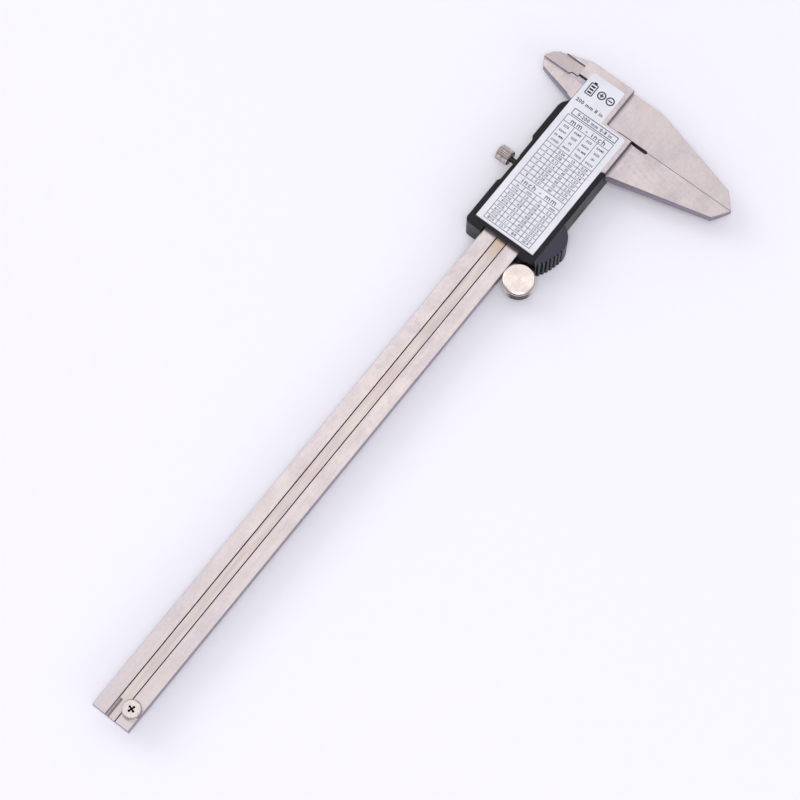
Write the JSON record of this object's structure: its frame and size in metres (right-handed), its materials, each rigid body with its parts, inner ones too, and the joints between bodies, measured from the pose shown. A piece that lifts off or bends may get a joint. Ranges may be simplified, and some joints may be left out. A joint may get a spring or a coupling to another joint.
{
  "type": "electronic slide caliper",
  "caption": "Slide caliper with a digital readout: long steel beam, outside and inside jaws, sliding head, thumb roller, lock screw and depth rod.",
  "frame": {"origin": "bottom centre of the closed caliper's box, as it lies on its display face", "axes": "+X along the beam from its tail to the fixed jaws, +Y from the large outside jaws to the small inside jaws, +Z out of the back, away from the display"},
  "size_m": [0.292, 0.0888, 0.0127],
  "materials": {
    "ground_steel": "satin",
    "rod_steel": "satin",
    "nickel_plate": "polished",
    "roller_nickel": "turned, polished edge",
    "screw_steel": "plain",
    "spring_steel": "plain",
    "gib_brass": "milled",
    "label_foil": "satin foil, black print",
    "ruler_film": "printed film",
    "circuit_laminate": "solder mask",
    "housing_plastic": "moulded, fine texture",
    "panel_film": "printed film",
    "window_acrylic": "clear",
    "display_glass": "liquid crystal, reflective",
    "contact_rubber": "moulded",
    "chip_resin": "epoxy drop",
    "cell_steel": "nickel-plated can",
    "button_plastic": "moulded"
  },
  "bodies": {
    "beam": {"beam_and_fixed_jaws": "ground_steel", "stator_strip": "circuit_laminate", "ruler_foil": "ruler_film", "stop_screw": "nickel_plate"},
    "slider": {"slider_frame": "ground_steel", "back_label": "label_foil", "depth_rod": "rod_steel", "rod_screws": "screw_steel", "gib_strip": "gib_brass", "gib_screws": "screw_steel", "retaining_strips": "spring_steel", "strip_screws": "screw_steel", "frame_screws": "screw_steel", "housing": "housing_plastic", "front_panel": "panel_film", "display_window": "window_acrylic", "lcd_glass": "display_glass", "contact_rubbers": "contact_rubber", "circuit_board": "circuit_laminate", "sensor_board": "circuit_laminate", "board_screws": "screw_steel", "processor_chip": "chip_resin", "button_pad": "contact_rubber", "battery_cell": "cell_steel", "battery_spring": "spring_steel", "battery_side_contact": "spring_steel", "roller_axle": "screw_steel", "roller_arm": "spring_steel", "arm_screw": "screw_steel"},
    "thumb_roller": {"thumb_roller": "roller_nickel"},
    "lock_stud": {"lock_stud": "screw_steel"},
    "lock_knob": {"lock_knob": "nickel_plate"},
    "unit_button": {"unit_button": "button_plastic"},
    "power_button": {"power_button": "button_plastic"},
    "zero_button": {"zero_button": "button_plastic"},
    "battery_cover": {"battery_cover": "housing_plastic"}
  },
  "joints": [
    {"name": "slider_slide", "type": "slide", "parent": "beam", "child": "slider", "axis": [-1, 0, 0], "range_m": [0, 0.205]},
    {"name": "roller_turn", "type": "hinge", "parent": "slider", "child": "thumb_roller", "pos_m": [0.06315, -0.0003, 0.0075], "axis": [0, 0, -1], "continuous": true},
    {"name": "lock_advance", "type": "slide", "parent": "slider", "child": "lock_stud", "axis": [0, -1, 0], "range_m": [-0.0012, 0.00028]},
    {"name": "lock_turn", "type": "hinge", "parent": "lock_stud", "child": "lock_knob", "pos_m": [0.09865, 0.0333, 0.0087], "axis": [0, -1, 0], "range_deg": [-1080.5, 252.5]},
    {"name": "unit_button_press", "type": "slide", "parent": "slider", "child": "unit_button", "axis": [0, 0, 1], "range_m": [0, 0.0005], "stiffness_N_per_m": 900},
    {"name": "power_button_press", "type": "slide", "parent": "slider", "child": "power_button", "axis": [0, 0, 1], "range_m": [0, 0.0005], "stiffness_N_per_m": 900},
    {"name": "zero_button_press", "type": "slide", "parent": "slider", "child": "zero_button", "axis": [0, 0, 1], "range_m": [0, 0.0005], "stiffness_N_per_m": 900},
    {"name": "battery_cover_slide", "type": "slide", "parent": "slider", "child": "battery_cover", "axis": [1, 0, 0], "range_m": [0, 0.015]}
  ],
  "couplings": [
    {"joint": "roller_turn", "follows": "slider_slide", "rad_per_m": 169.49},
    {"joint": "lock_turn", "follows": "lock_advance", "rad_per_m": 15708}
  ]
}
